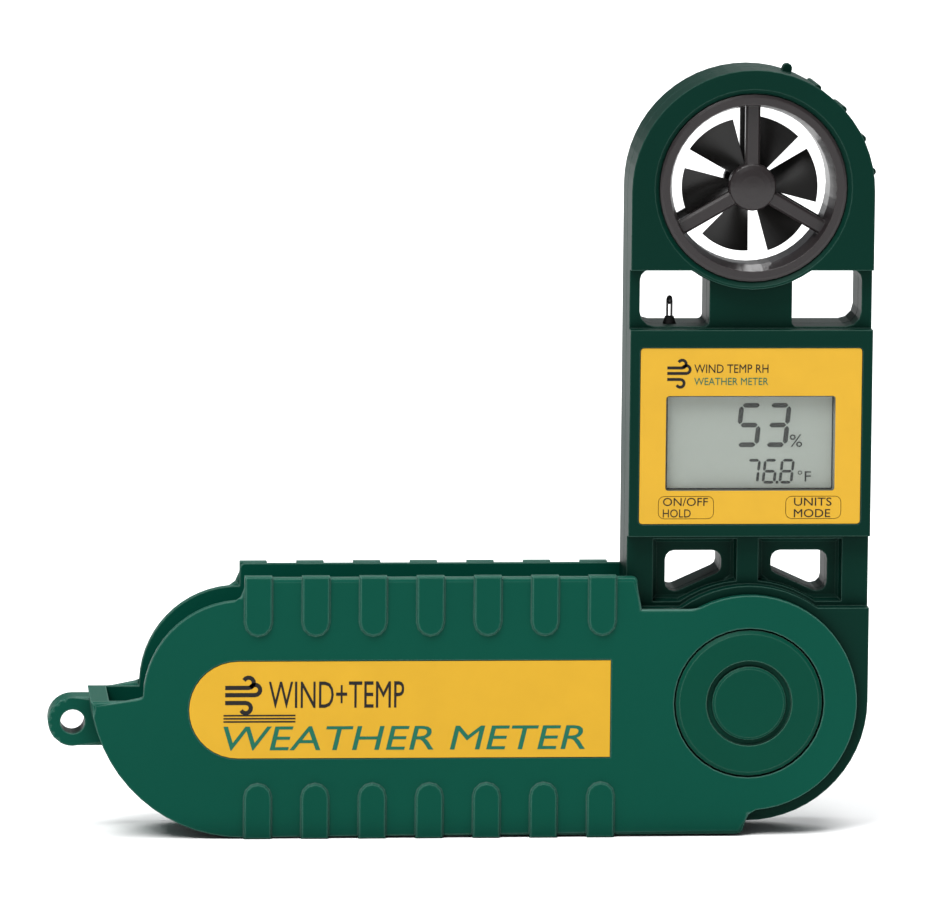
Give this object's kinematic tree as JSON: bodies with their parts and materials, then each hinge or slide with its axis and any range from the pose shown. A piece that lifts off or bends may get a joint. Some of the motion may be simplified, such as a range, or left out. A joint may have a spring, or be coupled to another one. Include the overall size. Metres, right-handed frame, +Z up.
{
  "type": "handheld weather meter",
  "caption": "Folding handheld weather meter: a case with display, keys, temperature bead and wind vane, hinged in a slotted sleeve that is its handle.",
  "frame": {"origin": "bottom centre of the whole object's box, on the surface that the sleeve's spine ribs rest on, with the case standing upright", "axes": "+Z up, front faces -Y, +X along the sleeve from its lanyard lug towards the pivot"},
  "size_m": [0.135, 0.019, 0.127],
  "materials": {
    "sleeve_green": "satin, fine moulded texture",
    "case_green": "satin",
    "pivot_green": "satin",
    "yellow_film": "matte printed film",
    "clear_window": "clear",
    "lcd_grey": "polarised film",
    "black_plastic": "satin",
    "grey_rubber": "matte",
    "board_green": "solder mask",
    "steel": "brushed",
    "brass": "plain",
    "jewel_red": "polished",
    "thermistor_black": "epoxy bead",
    "white_ceramic": "matte"
  },
  "bodies": {
    "sleeve": {"sleeve_front_shell": "sleeve_green", "sleeve_rear_cover": "sleeve_green", "sleeve_label": "yellow_film"},
    "meter": {"meter_front_case": "case_green", "meter_rear_case": "case_green", "case_gasket": "grey_rubber", "display_overlay": "yellow_film", "display_window": "clear_window", "lcd_panel": "lcd_grey", "lcd_frame": "black_plastic", "upper_contact_strip": "grey_rubber", "lower_contact_strip": "grey_rubber", "circuit_board": "board_green", "power_switch": "black_plastic", "mode_switch": "black_plastic", "microcontroller": "black_plastic", "crystal": "steel", "coin_cell": "steel", "battery_spring": "brass", "battery_clip": "brass", "case_screw_1": "steel", "case_screw_2": "steel", "case_screw_3": "steel", "case_screw_4": "steel", "thermistor": "thermistor_black", "thermistor_seal": "black_plastic", "humidity_sensor": "white_ceramic", "vane_pickup": "black_plastic", "pickup_lead": "grey_rubber", "vane_housing": "black_plastic", "vane_rear_ring": "black_plastic", "front_jewel": "jewel_red", "rear_jewel": "jewel_red", "front_pivot_disc": "pivot_green", "rear_pivot_disc": "pivot_green", "front_pivot_cap": "pivot_green", "rear_pivot_cap": "pivot_green", "pivot_screw": "steel", "pivot_nut": "brass", "friction_washer": "steel"},
    "impeller": {"impeller": "black_plastic", "impeller_shaft": "steel", "impeller_magnet": "steel"},
    "power_key": {"power_key": "yellow_film"},
    "mode_key": {"mode_key": "yellow_film"},
    "battery_door": {"battery_door": "case_green"}
  },
  "joints": [
    {"name": "body_fold", "type": "hinge", "parent": "sleeve", "child": "meter", "pos_m": [0.04741, 0, 0.0222], "axis": [0, 1, 0], "range_deg": [-90, 90]},
    {"name": "impeller_spin", "type": "hinge", "parent": "meter", "child": "impeller", "pos_m": [0.04731, 0, 0.107], "axis": [0, 1, 0], "continuous": true},
    {"name": "power_key_press", "type": "slide", "parent": "meter", "child": "power_key", "axis": [0, 1, 0], "range_m": [0, 0.0004], "stiffness_N_per_m": 500},
    {"name": "mode_key_press", "type": "slide", "parent": "meter", "child": "mode_key", "axis": [0, 1, 0], "range_m": [0, 0.0004], "stiffness_N_per_m": 500},
    {"name": "battery_door_turn", "type": "hinge", "parent": "meter", "child": "battery_door", "pos_m": [0.04731, 0, 0.0666], "axis": [0, 1, 0], "range_deg": [0, 45]}
  ]
}
